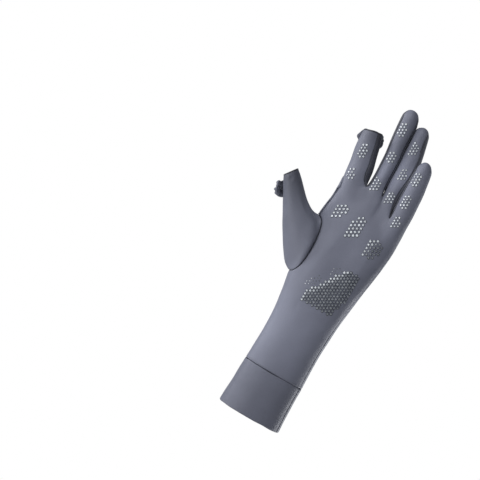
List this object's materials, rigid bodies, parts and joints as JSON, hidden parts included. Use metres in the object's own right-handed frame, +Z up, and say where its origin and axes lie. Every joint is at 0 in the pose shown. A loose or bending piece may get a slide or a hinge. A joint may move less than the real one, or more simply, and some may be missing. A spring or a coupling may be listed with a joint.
{
  "type": "sun glove",
  "caption": "Thin stretch sun glove for the left hand with a long cuff; the index finger and thumb are open, their fingertip caps flipped back.",
  "frame": {"origin": "centre of the cuff's open end", "axes": "+Z runs up the arm to the fingers, the palm faces -Y, the back of the hand +Y and the thumb -X"},
  "size_m": [0.1219, 0.0458, 0.3116],
  "materials": {
    "palm_panel": "fine smooth stretch knit, slightly glossy",
    "back_panel": "fine smooth stretch knit, slightly glossy",
    "side_strip_1": "fine smooth stretch knit, slightly glossy",
    "side_strip_2": "fine smooth stretch knit, slightly glossy",
    "side_strip_3": "fine smooth stretch knit, slightly glossy",
    "thumb": "fine smooth stretch knit, slightly glossy",
    "cuff_band": "fine smooth stretch knit, slightly glossy",
    "index_cap": "fine smooth stretch knit, slightly glossy",
    "thumb_cap": "fine smooth stretch knit, slightly glossy"
  },
  "bodies": {
    "root": {"palm_panel": "palm_panel", "back_panel": "back_panel", "side_strip_1": "side_strip_1", "side_strip_2": "side_strip_2", "side_strip_3": "side_strip_3", "thumb": "thumb", "cuff_band": "cuff_band", "index_cap": "index_cap", "thumb_cap": "thumb_cap"}
  },
  "joints": []
}
